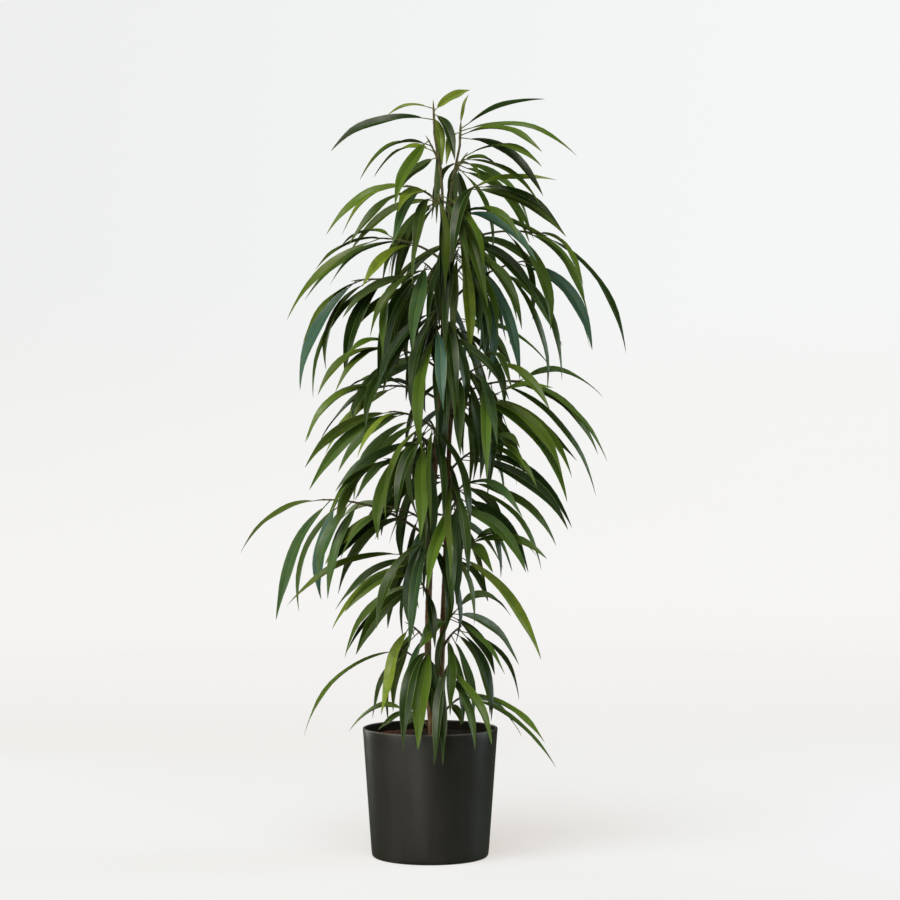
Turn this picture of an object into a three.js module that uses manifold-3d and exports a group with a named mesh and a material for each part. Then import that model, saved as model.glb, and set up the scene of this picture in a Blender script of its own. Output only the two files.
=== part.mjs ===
// A potted narrow-leaf fig: two slender woody stems stand in a tapered pot of soil, and leafy shoots
// clothe them from the soil to the tips. Each shoot is a twig with long folded leaves that arch and hang.
//
// Millimetres, +Z up, +X to the right and +Y away from the front. The origin is the centre of the pot's
// underside. Leaf tips are given as they appear from a viewpoint in front of the plant.

import * as THREE from 'three';
import Module from 'manifold-3d';
import { mergeVertices } from 'three/addons/utils/BufferGeometryUtils.js';

const wasm = await Module();
wasm.setup();

const UP = new THREE.Vector3(0, 0, 1);
const TO_VIEWER = new THREE.Vector3(0, -1, 0);
const VIEWPOINT = { x: 41, z: 842, distance: 5000 };
const SEED = 7;

// Two touching pieces keep this gap.
const GAP = 0.3;
// Corners closer than this are one corner.
const SAME_CORNER = 0.001;
// Where leaves join their twig, steps finer than this are evened out.
const SMALLEST_STEP = 0.15;

// Pot and soil.
const POT_HEIGHT = 267;
const RIM_RADIUS = 140;
const FOOT_RADIUS = 121;
const FOOT_BEVEL = 6;
const WALL = 5;
const LIP_BEVEL = 1.5;
const FLOOR = 6;
const POT_SIDES = 48;
const SOIL_TOP = POT_HEIGHT - 20;
const SOIL_DOME = 6;
const SOIL_SIDES = 32;
const SOIL_PLAY = 1;

// Stems.
const STEM_SIDES = 8;
const STEM_STEPS = 12;
const STEM_SUNK = 90;

// Twigs.
const TWIG_SIDES = 4;
const TWIG_STEPS = 3;
const TWIG_ROOT_RADIUS = 2.3;
const TWIG_END_RADIUS = 1.5;
// A twig's root is thicker by this share of its length, and its middle is lifted by this share of it.
const TWIG_TAPER = 0.005;
const TWIG_LIFT = 0.2;

// Leaves. The reach runs from the stalk's root to the drip tip.
const LEAF_REACH = [204, 234];
// A leaf that appears longer than its reach gets this much more than it shows.
const LEAST_REACH = 1.02;
const LEAF_WIDTH = 28;
const LEAF_WIDTH_SPREAD = [0.88, 1.1];
// Its outline and its fold let a blade show no more than this share of its width.
const WIDTH_SHOWN = 0.82;
// A leaf whose chord is shorter than this is narrower in the same measure.
const FULL_WIDTH_LENGTH = 190;
const LEAF_THICKNESS = 1.6;
const LEAF_FOLD = THREE.MathUtils.degToRad(22);
// How far the midline bows up from the chord, as a share of its length; a rising leaf bows less.
const LEAF_BOW = [0.09, 0.17];
const RISING_BOW = 0.5;
const STALK_LENGTH = 22;
const STALK_SHARE = 0.12;
const STALK_RADIUS = 1.1;
// Leaves sit on their twig between these shares of its length, under a bud no further out than the next.
const LEAF_ROOTS = [0.36, 0.97];
const LEAF_ROOTS_UNDER_BUD = [0.36, 0.75];
const LEAF_SPACING = 15;
// A twig that reaches this far to the back or the front hangs all its undrawn leaves that way. The rest
// favour the front a little.
const LEAN_DEPTH = 40;
const FRONT_BIAS = 0.1;
// Along the blade from its base, and the share of the full width there.
const BLADE_OUTLINE = [[0, 0.14], [0.3, 0.86], [0.68, 0.88]];

const STEMS = {
  left: {
    radii: [8, 2.4],
    path: [[4, -14, 240], [-4, -16, 380], [-4, -14, 490], [0, -12, 614], [6, -12, 738], [14, -12, 863],
      [22, -12, 987], [27, -11, 1112], [23, -10, 1236], [27, -8, 1329], [20, -6, 1433], [8, -4, 1502]],
  },
  right: {
    radii: [7.5, 2.4],
    path: [[23, 12, 240], [23, 14, 407], [29, 14, 531], [33, 15, 655], [38, 16, 800], [41, 16, 946],
      [45, 16, 1091], [43, 15, 1215], [41, 14, 1361], [54, 12, 1433], [62, 10, 1478]],
  },
};

// The shoots on the front and the sides, from the top down: the stem and the height that the twig leaves
// it at, the twig's end, and the leaf tips, from the twig's end back to its root. A tip is its place as
// it appears in the plane of the pot's axis (x, z), the width that the leaf shows, and, where it isn't
// left to the leaf's reach, how far the tip lies behind its root (below 0: in front of it).
const SHOOTS = [
  { name: 'shoot_crown_left', stem: 'left', from: 1494, to: [6, -4, 1568], bud: true, tips: [
    [-100, 1527, 6, 0], [83, 1589, 19, 8], [51, 1443, 17, -130], [25, 1433, 15, -100], [-206, 1462, 17]] },
  { name: 'shoot_crown_right', stem: 'right', from: 1470, to: [64, 8, 1528], bud: true, tips: [
    [80, 1580, 6, 0], [238, 1570, 10], [304, 1452, 12], [33, 1433, 14, -120], [232, 1460, 12],
    [234, 1369, 19]] },
  { name: 'shoot_left_1', stem: 'left', from: 1425, to: [-4, -24, 1482], leaves: 0, tips: [
    [-73, 1350, 23], [-146, 1402, 6], [-117, 1408, 8], [-63, 1381, 17, 120]] },
  { name: 'shoot_right_1', stem: 'right', from: 1405, to: [72, 4, 1452], tips: [
    [232, 1429, 10], [228, 1350, 7], [145, 1427, 8, 110], [103, 1406, 6, -120]] },
  { name: 'shoot_left_2', stem: 'left', from: 1345, to: [-42, -12, 1388], tips: [
    [-183, 1288, 12], [-216, 1288, 15], [-170, 1267, 12], [-79, 1267, 19], [-67, 1336, 19],
    [-38, 1232, 19]] },
  { name: 'shoot_right_2', stem: 'right', from: 1345, to: [99, -24, 1388], tips: [
    [45, 1232, 21], [273, 1298, 17], [282, 1284, 19], [263, 1402, 12]] },
  { name: 'shoot_right_3', stem: 'right', from: 1295, to: [64, 0, 1338], tips: [
    [300, 1226, 10], [221, 1232, 19], [186, 1278, 12]] },
  { name: 'shoot_right_4', stem: 'right', from: 1262, to: [236, -10, 1287], tips: [
    [406, 1043, 10], [317, 1184, 6], [327, 1126, 12], [321, 1147, 10]] },
  { name: 'shoot_left_3', stem: 'left', from: 1235, to: [-108, -6, 1280], tips: [
    [-297, 1112, 15], [-239, 1215, 5], [-183, 1267, 5, 150], [-260, 1153, 12], [-208, 1184, 6],
    [-141, 1180, 17]] },
  { name: 'shoot_right_5', stem: 'right', from: 1225, to: [62, -34, 1282], tips: [
    [80, 1033, 22], [224, 1147, 24], [176, 1147, 10]] },
  { name: 'shoot_left_4', stem: 'left', from: 1150, to: [-156, -14, 1192], tips: [
    [-270, 966, 20], [-264, 1064, 8], [-216, 1008, 12], [-243, 950, 12], [-177, 998, 25],
    [-98, 1029, 15]] },
  { name: 'shoot_left_5', stem: 'left', from: 1180, to: [-10, -42, 1225], tips: [
    [-36, 1049, 20], [-108, 977, 25], [-125, 1075, 15]] },
  { name: 'shoot_right_6', stem: 'right', from: 1185, to: [80, -26, 1238], tips: [
    [186, 1139, 14], [186, 987, 20], [120, 987, 19], [99, 1081, 20], [110, 1091, 14]] },
  { name: 'shoot_right_7', stem: 'right', from: 1150, to: [197, 2, 1234], tips: [
    [336, 1049, 23], [331, 1054, 6], [273, 987, 12], [242, 960, 12]] },
  { name: 'shoot_front_1', stem: 'left', from: 1050, to: [12, -52, 1092], tips: [
    [27, 925, 19], [-15, 832, 23], [51, 904, 15]] },
  { name: 'shoot_left_6', stem: 'left', from: 1005, to: [-94, -8, 1052], tips: [
    [-233, 956, 12], [-197, 962, 12], [-177, 1033, 8]] },
  { name: 'shoot_left_7', stem: 'left', from: 945, to: [-115, 8, 972], tips: [
    [-260, 857, 12], [-255, 862, 17], [-229, 859, 8], [-218, 832, 17], [-177, 966, 8], [-108, 975, 6]] },
  { name: 'shoot_right_8', stem: 'right', from: 965, to: [117, -26, 1018], tips: [
    [248, 925, 14], [170, 966, 10], [139, 852, 15], [120, 755, 19], [103, 780, 21]] },
  { name: 'shoot_left_8', stem: 'left', from: 880, to: [-76, -26, 921], tips: [
    [-260, 805, 19], [-251, 759, 20], [-191, 796, 17], [-152, 825, 8]] },
  { name: 'shoot_right_9', stem: 'right', from: 905, to: [134, -6, 956], tips: [
    [255, 971, 10], [294, 784, 19], [275, 784, 19], [284, 734, 19], [304, 819, 17]] },
  { name: 'shoot_right_10', stem: 'right', from: 940, to: [190, 18, 985], tips: [
    [358, 952, 10], [367, 819, 7], [348, 832, 17], [344, 745, 12]] },
  { name: 'shoot_front_2', stem: 'left', from: 820, to: [-22, -48, 868], tips: [
    [-108, 655, 27], [-73, 707, 20], [-21, 655, 19], [0, 630, 19]] },
  { name: 'shoot_right_11', stem: 'right', from: 795, to: [120, -6, 852], tips: [
    [186, 846, 8], [201, 796, 6], [221, 765, 10], [294, 680, 16], [286, 676, 23], [259, 713, 12]] },
  { name: 'shoot_left_9', stem: 'left', from: 780, to: [-87, 0, 823], tips: [
    [-197, 676, 17], [-214, 697, 8], [-156, 738, 10], [-150, 745, 10]] },
  { name: 'shoot_right_12', stem: 'right', from: 720, to: [76, 4, 776], tips: [
    [261, 643, 14], [230, 593, 10], [192, 701, 12], [155, 666, 16], [170, 589, 6]] },
  { name: 'shoot_front_3', stem: 'right', from: 690, to: [58, -44, 742], tips: [
    [45, 510, 20], [-5, 552, 23], [54, 520, 16]] },
  { name: 'shoot_left_10', stem: 'left', from: 680, to: [-83, -14, 724], tips: [
    [-197, 686, 12], [-218, 604, 15], [-216, 589, 20], [-187, 614, 8]] },
  { name: 'shoot_left_11', stem: 'left', from: 655, to: [-229, 12, 738], tips: [
    [-394, 628, 10], [-320, 489, 19], [-226, 531, 22], [-272, 506, 19], [-233, 572, 20]] },
  { name: 'shoot_left_12', stem: 'left', from: 580, to: [-52, -10, 626], leaves: 0, tips: [
    [-297, 519, 12], [-197, 510, 20], [-204, 469, 10], [-56, 545, 12, 120]] },
  { name: 'shoot_right_13', stem: 'right', from: 590, to: [84, 0, 650], leaves: 0, tips: [
    [221, 622, 12], [242, 616, 14], [130, 587, 16], [230, 407, 17], [120, 527, 12]] },
  { name: 'shoot_left_13', stem: 'left', from: 535, to: [-26, -24, 578], leaves: 0, tips: [
    [-177, 506, 20], [-177, 411, 15], [-154, 417, 25], [-173, 423, 9], [10, 430, 14, -80]] },
  { name: 'shoot_right_14', stem: 'right', from: 460, to: [52, -14, 508], leaves: 0, tips: [
    [168, 496, 8], [184, 396, 12], [134, 375, 19], [155, 376, 8], [-25, 427, 25, -150],
    [14, 362, 14, -80]] },
  { name: 'shoot_left_14', stem: 'left', from: 440, to: [-42, -10, 480], leaves: 0, tips: [
    [-102, 292, 19], [-77, 299, 20], [-87, 278, 10], [-50, 282, 14]] },
  { name: 'shoot_right_15', stem: 'right', from: 425, to: [60, -14, 474], leaves: 0, tips: [
    [126, 278, 16], [184, 324, 8], [124, 292, 15], [90, 280, 14], [41, 290, 16], [68, 272, 14, -70]] },
  { name: 'shoot_front_4', stem: 'left', from: 395, to: [0, -52, 440], leaves: 0, tips: [
    [-25, 220, 29, -125], [-56, 216, 25, -120], [-42, 275, 16, -60], [22, 272, 16, -70],
    [6, 290, 15, -90]] },
  { name: 'shoot_left_15', stem: 'left', from: 380, to: [-62, 6, 428], leaves: 0, tips: [
    [-262, 249, 8], [-120, 285, 12, 90]] },
  { name: 'shoot_front_5', stem: 'right', from: 345, to: [40, -52, 404], leaves: 0, tips: [
    [8, 189, 16, -140], [26, 189, 16, -140], [128, 230, 12, -105], [93, 220, 14, -120]] },
  { name: 'shoot_right_16', stem: 'right', from: 290, to: [84, -6, 338], leaves: 0, tips: [
    [238, 234, 8], [261, 183, 6], [190, 247, 7], [64, 270, 14, -60]] },
  { name: 'shoot_left_16', stem: 'left', from: 262, to: [-46, -10, 302], leaves: 0, tips: [
    [-168, 259, 7], [-108, 262, 10, -30], [-60, 262, 14, -60]] },
];

// The shoots that the others hide are grown by the same rule, in a row down the front of the stems and a
// row down their back: how many, the heights between which they spread, the directions that they lean in
// (degrees from +X), how far they reach from the stem, their leaves and how steeply those hang.
const ROWS = [
  { name: 'shoot_middle', count: 7, heights: [610, 1430], lean: [-125, -55], distance: [34, 60], leaves: 9,
    droop: [50, 82] },
  { name: 'shoot_back', count: 10, heights: [670, 1490], lean: [40, 140], distance: [35, 85], leaves: 7,
    droop: [25, 72] },
];
const ROW_RISE = 40;

// A shoot with fewer leaves than this gets more that hang below it.
const LEAST_LEAVES = 6;
const HANGING_SPREAD = 100;
const HANGING_DROOP = [38, 78];
const HANGING_SHOWN = [8, 22];

// A blade turns about its chord by up to this many degrees to show its width. A degree of turn costs the
// first share, and the upper face to the front wins the second.
const TURN_LIMIT = 60;
const TURN_STEP = 5;
const TURN_COST = 0.004;
const FRONT_GAIN = 0.3;

// While a leaf meets other growth it is bent to the back and to the front by so many steps, first with
// its own bow and then with a higher and a lower one.
const BENDS = [0, 1, -1, 2, -2, 3, -3, 4, -4, 5, -5, 6, -6, 7, -7, 8, -8, 9, -9, 10, -10];
const BEND_STEP = 12;
const BOWS = [1, 1.4, 0.6];

// Halvings of a stem's length that find the point at a height.
const HALVINGS = 30;

const finish = (color, roughness) =>
  new THREE.MeshStandardMaterial({ color, roughness, metalness: 0, flatShading: true });
const POT_FINISH = finish('#34322f', 0.62);
const SOIL_FINISH = finish('#2b211a', 0.95);
const WOOD_FINISH = finish('#5d4a38', 0.85);
const LEAF_FINISH = finish('#35501f', 0.42);

// A seeded draw between two values, the same each time for the same shoot, leaf and trait.
function draw([low, high], ...keys) {
  let bits = SEED;
  for (const key of keys) {
    bits = Math.imul(bits ^ (key + 0x9e3779b9), 0x85ebca6b);
    bits ^= bits >>> 13;
  }
  bits = Math.imul(bits ^ (bits >>> 16), 0xc2b2ae35);
  return low + (high - low) * ((bits >>> 8) & 0xffff) / 0xffff;
}

// The point at depth y that appears at (x, z) in the plane of the pot's axis.
function seen(x, z, y) {
  const scale = (VIEWPOINT.distance + y) / VIEWPOINT.distance;
  return new THREE.Vector3(
    VIEWPOINT.x + (x - VIEWPOINT.x) * scale, y, VIEWPOINT.z + (z - VIEWPOINT.z) * scale);
}

// Where a point appears in the plane of the pot's axis.
function appears(point) {
  const scale = VIEWPOINT.distance / (VIEWPOINT.distance + point.y);
  return new THREE.Vector2(
    VIEWPOINT.x + (point.x - VIEWPOINT.x) * scale, VIEWPOINT.z + (point.z - VIEWPOINT.z) * scale);
}

// A closed geometry with shared corners and no flat triangles, as a solid for joining and cutting.
function solid(geometry) {
  const bare = geometry.clone();
  bare.deleteAttribute('normal');
  bare.deleteAttribute('uv');
  const merged = mergeVertices(bare, SAME_CORNER);
  const corners = [];
  for (let i = 0; i < merged.index.count; i += 3) {
    const [a, b, c] = [0, 1, 2].map((k) => merged.index.getX(i + k));
    if (a !== b && b !== c && c !== a) corners.push(a, b, c);
  }
  return new wasm.Manifold(new wasm.Mesh({
    numProp: 3,
    vertProperties: new Float32Array(merged.attributes.position.array),
    triVerts: new Uint32Array(corners),
  }));
}

function namedMesh(name, body, material) {
  const { numProp, vertProperties, triVerts } = body.getMesh();
  const geometry = new THREE.BufferGeometry();
  geometry.setAttribute('position', new THREE.BufferAttribute(new Float32Array(vertProperties), numProp));
  geometry.setIndex(new THREE.BufferAttribute(new Uint32Array(triVerts), 1));
  geometry.computeVertexNormals();
  const mesh = new THREE.Mesh(geometry, material);
  mesh.name = name;
  return mesh;
}

// A profile of [radius, height] points turned about the Z axis.
function turned(profile, sides) {
  const points = profile.map(([radius, height]) => new THREE.Vector2(radius, height));
  return solid(new THREE.LatheGeometry(points, sides).rotateX(Math.PI / 2));
}

// A closed skin over rings of corners, all turning the same way round their path. It starts with a flat
// cap and ends in one too, or in a point where one is given.
function loft(rings, point) {
  const sides = rings[0].length;
  const corners = rings.flat();
  const last = corners.length - sides;
  const triangles = [];
  for (let start = 0; start < last; start += sides) {
    for (let side = 0; side < sides; side += 1) {
      const [a, b] = [start + side, start + (side + 1) % sides];
      const [c, d] = [a + sides, b + sides];
      // Diagonals start from the even corners, so the two faces of a blade are split alike.
      triangles.push(...(side % 2 === 0 ? [a, b, d, a, d, c] : [a, b, c, b, d, c]));
    }
  }
  for (let side = 1; side < sides - 1; side += 1) triangles.push(0, side + 1, side);
  if (point) {
    for (let side = 0; side < sides; side += 1) {
      triangles.push(last + side, last + (side + 1) % sides, corners.length);
    }
    corners.push(point);
  } else {
    for (let side = 1; side < sides - 1; side += 1) triangles.push(last, last + side, last + side + 1);
  }
  const geometry = new THREE.BufferGeometry().setFromPoints(corners);
  geometry.setIndex(triangles);
  return solid(geometry);
}

// A round tapering branch along a curve; with a bud it ends in a point.
function branch(curve, [rootRadius, endRadius], sides, steps, bud) {
  const { normals, binormals } = curve.computeFrenetFrames(steps);
  const rings = [];
  for (let step = 0; step <= steps - (bud ? 1 : 0); step += 1) {
    const share = step / steps;
    const radius = THREE.MathUtils.lerp(rootRadius, endRadius, share);
    const centre = curve.getPointAt(share);
    rings.push(Array.from({ length: sides }, (_, side) => {
      const angle = 2 * Math.PI * side / sides;
      return centre.clone()
        .addScaledVector(normals[step], radius * Math.cos(angle))
        .addScaledVector(binormals[step], radius * Math.sin(angle));
    }));
  }
  return loft(rings, bud ? curve.getPointAt(1) : undefined);
}

function potSolid() {
  const slope = (RIM_RADIUS - FOOT_RADIUS) / POT_HEIGHT;
  return turned([
    [0, 0],
    [FOOT_RADIUS - FOOT_BEVEL, 0],
    [FOOT_RADIUS, FOOT_BEVEL],
    [RIM_RADIUS, POT_HEIGHT - LIP_BEVEL],
    [RIM_RADIUS - LIP_BEVEL, POT_HEIGHT],
    [RIM_RADIUS - WALL, POT_HEIGHT],
    [FOOT_RADIUS + slope * FLOOR - WALL, FLOOR],
    [0, FLOOR],
  ], POT_SIDES);
}

// The soil fills the pot to below its rim and has a plain hole for each stem.
function soilSolid(stemHoles) {
  const slope = (RIM_RADIUS - FOOT_RADIUS) / POT_HEIGHT;
  const bottom = FLOOR + GAP;
  // A flat side of the pot's wall lies closer to the axis than its corners do.
  const inside = (height) => (FOOT_RADIUS + slope * height - WALL) * Math.cos(Math.PI / POT_SIDES) - GAP;
  const body = turned([
    [0, bottom],
    [inside(bottom) - SOIL_PLAY, bottom],
    [inside(SOIL_TOP) - SOIL_PLAY, SOIL_TOP],
    [0, SOIL_TOP + SOIL_DOME],
  ], SOIL_SIDES);
  return stemHoles.reduce((soil, hole) => soil.subtract(hole), body);
}

// A stem's curve from its foot in the soil to its tip, and its solid, wider all round by a margin.
function stemCurve({ path }) {
  const [x, y, z] = path[0];
  return new THREE.CatmullRomCurve3(
    [[x, y, z - STEM_SUNK], ...path].map((p) => new THREE.Vector3(...p)), false, 'centripetal');
}

function stemSolid(stem, margin) {
  return branch(stemCurve(stem), stem.radii.map((radius) => radius + margin), STEM_SIDES, STEM_STEPS, false);
}

// The point on a stem's axis at a height.
function stemPoint(stem, height) {
  const curve = stemCurve(stem);
  let [low, high] = [0, 1];
  for (let halving = 0; halving < HALVINGS; halving += 1) {
    const middle = (low + high) / 2;
    if (curve.getPoint(middle).z < height) low = middle;
    else high = middle;
  }
  return curve.getPoint(low);
}

// A twig leaves its stem aslant, rises and levels out towards its end.
function twigCurve({ stem, from, to, bud }) {
  const root = stemPoint(STEMS[stem], from);
  const end = new THREE.Vector3(...to);
  const middle = root.clone().lerp(end, 0.5);
  if (!bud) middle.z += TWIG_LIFT * root.distanceTo(end);
  return new THREE.QuadraticBezierCurve3(root, middle, end);
}

// The direction across a blade that shows the wanted width to the front. The blade is turned about its
// chord from level, no more than it needs, and sooner with its upper face to the front.
function bladeAcross(chord, across, rise, width, shown) {
  const side = new THREE.Vector3(-chord.z, 0, chord.x).normalize();
  let best = { cost: Infinity };
  for (let degrees = -TURN_LIMIT; degrees <= TURN_LIMIT; degrees += TURN_STEP) {
    const turn = THREE.MathUtils.degToRad(degrees);
    const turned = across.clone().multiplyScalar(Math.cos(turn)).addScaledVector(rise, Math.sin(turn));
    const upper = rise.clone().multiplyScalar(Math.cos(turn)).addScaledVector(across, -Math.sin(turn));
    const error = Math.abs(WIDTH_SHOWN * width * Math.abs(turned.dot(side)) - shown) / width;
    const cost = error + TURN_COST * Math.abs(degrees) - FRONT_GAIN * upper.dot(TO_VIEWER);
    if (cost < best.cost) best = { cost, turned };
  }
  return best.turned;
}

// A leaf from its root on the twig to its tip: a thin stalk, and a blade folded along its midrib whose
// midline bows up from the chord as a parabola. A margin makes it wider all round.
function leafRings({ root, tip, across, bow, width }, margin) {
  const chord = tip.clone().sub(root);
  const length = chord.length();
  const outward = new THREE.Vector3(chord.x, chord.y, 0).normalize();
  const rise = UP.clone().multiplyScalar(Math.hypot(chord.x, chord.y)).addScaledVector(outward, -chord.z);
  rise.divideScalar(length);
  const stalkShare = Math.min(STALK_LENGTH / length, STALK_SHARE);
  const ringAt = (share, halfWidth, halfThickness, fold) => {
    const centre = root.clone().addScaledVector(chord, share)
      .addScaledVector(rise, bow * length * 4 * share * (1 - share));
    const along = chord.clone().divideScalar(length)
      .addScaledVector(rise, bow * 4 * (1 - 2 * share)).normalize();
    const upper = across.clone().cross(along).normalize();
    const [reach, lift] = [halfWidth * Math.cos(fold), halfWidth * Math.sin(fold)];
    return [
      centre.clone().addScaledVector(across, -reach).addScaledVector(upper, lift),
      centre.clone().addScaledVector(upper, halfThickness),
      centre.clone().addScaledVector(across, reach).addScaledVector(upper, lift),
      centre.clone().addScaledVector(upper, -halfThickness),
    ];
  };
  const stalk = ringAt(0, STALK_RADIUS + margin, STALK_RADIUS + margin, 0);
  const blade = BLADE_OUTLINE.map(([share, breadth]) => ringAt(
    stalkShare + (1 - stalkShare) * share,
    breadth * width / 2 + margin, LEAF_THICKNESS / 2 + margin, LEAF_FOLD));
  return { stalk, blade, tip };
}

const group = new THREE.Group();
const stemHoles = Object.values(STEMS).map((stem) => stemSolid(stem, GAP));
const pot = potSolid();
const soil = soilSolid(stemHoles);
group.add(namedMesh('pot', pot, POT_FINISH));
group.add(namedMesh('soil', soil, SOIL_FINISH));
for (const [side, stem] of Object.entries(STEMS)) {
  group.add(namedMesh(`stem_${side}`, stemSolid(stem, 0), WOOD_FINISH));
}

// What new growth has to stay clear of: each solid with its box and the shoot that it belongs to.
const grown = [];
function grow(owner, body, isTwig) {
  grown.push({ owner, body, box: body.boundingBox(), isTwig });
}
function boxesMeet(a, b) {
  return [0, 1, 2].every((axis) => a.min[axis] <= b.max[axis] && b.min[axis] <= a.max[axis]);
}
for (const body of [pot, soil, ...stemHoles]) grow('', body, false);

// A leaf clears the other growth when its widened form meets none of it; only its stalk enters its twig.
function isClear(owner, leaf) {
  const rings = leafRings(leaf, GAP);
  const whole = loft([rings.stalk, ...rings.blade], rings.tip);
  const blade = loft(rings.blade, rings.tip);
  const box = whole.boundingBox();
  return grown.every((other) => !boxesMeet(box, other.box)
    || (other.owner === owner && other.isTwig ? blade : whole).intersect(other.body).isEmpty());
}

// The shoots of a row from the top down, spread over the heights. They lean alternately to either side, and
// each grows from the stem on that side.
function rowShoots({ name, count, heights, lean, distance, leaves, droop }, row) {
  return Array.from({ length: count }, (_, index) => {
    const height = THREE.MathUtils.lerp(heights[1], heights[0], (index + 0.5) / count);
    const halves = [[lean[0], (lean[0] + lean[1]) / 2], [(lean[0] + lean[1]) / 2, lean[1]]];
    const turn = THREE.MathUtils.degToRad(draw(halves[index % 2], row, index, 1));
    const reach = draw(distance, row, index, 2);
    const stem = Math.cos(turn) < 0 ? 'left' : 'right';
    const root = stemPoint(STEMS[stem], height - ROW_RISE);
    return {
      name: `${name}_${index + 1}`,
      stem,
      from: height - ROW_RISE,
      to: [root.x + reach * Math.cos(turn), root.y + reach * Math.sin(turn), height],
      tips: [],
      leaves,
      droop,
    };
  });
}

// Twigs come first, each cut back to its seat on the stem.
const shoots = [...SHOOTS, ...ROWS.flatMap(rowShoots)].map((shoot, number) => {
  const curve = twigCurve(shoot);
  const radii = [TWIG_ROOT_RADIUS + TWIG_TAPER * curve.getLength(), TWIG_END_RADIUS];
  const whole = branch(curve, radii, TWIG_SIDES, TWIG_STEPS, shoot.bud);
  const cut = stemHoles.reduce((twig, hole) => twig.subtract(hole), whole);
  const twig = cut.decompose().sort((a, b) => b.volume() - a.volume())[0];
  grow(shoot.name, twig, true);
  return { ...shoot, number, curve, parts: [twig] };
});

// Where a leaf starts on its twig: the first of them at its end, the others behind it.
function leafRoot(shoot, leaf, leaves) {
  const [innermost, outermost] = shoot.bud ? LEAF_ROOTS_UNDER_BUD : LEAF_ROOTS;
  const even = (outermost - innermost) / Math.max(leaves - 1, 1);
  const step = Math.min(even, LEAF_SPACING / shoot.curve.getLength());
  return shoot.curve.getPointAt(outermost - step * leaf);
}

// Grows one leaf towards a tip as it appears from the front. Bending it to the back or to the front keeps
// its place as it appears. A leaf that has no room is left out.
function addLeaf(shoot, leaf, leaves, [x, z, shown, depth]) {
  const root = leafRoot(shoot, leaf, leaves);
  const apart = appears(root).distanceTo(new THREE.Vector2(x, z));
  const reach = Math.max(draw(LEAF_REACH, shoot.number, leaf, 3), LEAST_REACH * apart);
  const lean = draw([-1, 1], shoot.number, leaf, 4) + shoot.to[1] / LEAN_DEPTH;
  const deep = depth ?? Math.sqrt(reach ** 2 - apart ** 2) * (lean < FRONT_BIAS ? -1 : 1);
  const firstBow = draw(LEAF_BOW, shoot.number, leaf, 5) * (z > appears(root).y ? RISING_BOW : 1);
  const fullWidth = LEAF_WIDTH * draw(LEAF_WIDTH_SPREAD, shoot.number, leaf, 6);
  for (const [bow, bend] of BOWS.flatMap((share) => BENDS.map((bend) => [share * firstBow, bend]))) {
    const tip = seen(x, z, root.y + deep + bend * BEND_STEP);
    const chord = tip.clone().sub(root);
    const length = chord.length();
    const width = Math.max(shown / WIDTH_SHOWN, fullWidth * Math.min(1, length / FULL_WIDTH_LENGTH));
    const outward = new THREE.Vector3(chord.x, chord.y, 0).normalize();
    const rise = UP.clone().multiplyScalar(Math.hypot(chord.x, chord.y) / length)
      .addScaledVector(outward, -chord.z / length);
    const across = bladeAcross(chord, chord.clone().cross(UP).normalize(), rise, width, shown);
    const grownLeaf = { root, tip, across, bow, width };
    if (isClear(shoot.name, grownLeaf)) {
      const rings = leafRings(grownLeaf, 0);
      const body = loft([rings.stalk, ...rings.blade], rings.tip);
      grow(shoot.name, body, false);
      shoot.parts.push(body);
      return;
    }
  }
}
for (const shoot of shoots) {
  const leaves = Math.max(shoot.tips.length, shoot.leaves ?? LEAST_LEAVES);
  shoot.tips.forEach((tip, leaf) => addLeaf(shoot, leaf, leaves, tip));
}

// Leaves that the front doesn't show hang round the twig.
for (const shoot of shoots) {
  const leaves = Math.max(shoot.tips.length, shoot.leaves ?? LEAST_LEAVES);
  const [start, end] = [shoot.curve.getPointAt(0), shoot.curve.getPointAt(1)];
  const outward = Math.atan2(end.y - start.y, end.x - start.x);
  for (let leaf = shoot.tips.length; leaf < leaves; leaf += 1) {
    const root = leafRoot(shoot, leaf, leaves);
    const spread = THREE.MathUtils.degToRad(HANGING_SPREAD) * draw([-1, 1], shoot.number, leaf, 7);
    const droop = THREE.MathUtils.degToRad(draw(shoot.droop ?? HANGING_DROOP, shoot.number, leaf, 8));
    const reach = draw(LEAF_REACH, shoot.number, leaf, 3);
    const level = reach * Math.cos(droop);
    const tip = new THREE.Vector3(
      root.x + level * Math.cos(outward + spread),
      root.y + level * Math.sin(outward + spread),
      root.z - reach * Math.sin(droop));
    const at = appears(tip);
    const shown = draw(HANGING_SHOWN, shoot.number, leaf, 9);
    addLeaf(shoot, leaf, leaves, [at.x, at.y, shown, tip.y - root.y]);
  }
}

for (const { name, parts } of shoots) {
  const body = wasm.Manifold.union(parts).asOriginal().simplify(SMALLEST_STEP);
  group.add(namedMesh(name, body, LEAF_FINISH));
}

export default group;
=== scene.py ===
# %% [markdown]
# # A potted narrow-leaf fig
# The plant stands about 1.6 m tall. Two slender woody stems rise from a matt tapered pot, and short
# twigs carry long narrow leaves that fold along their midrib, arch and hang. The solids of the part
# are plain: square twigs and blades of a few facets. Each step here swaps one kind of solid for a
# finer surface in the same place. Lengths are in metres, +Z is up and the camera looks along +Y.

import math

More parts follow.
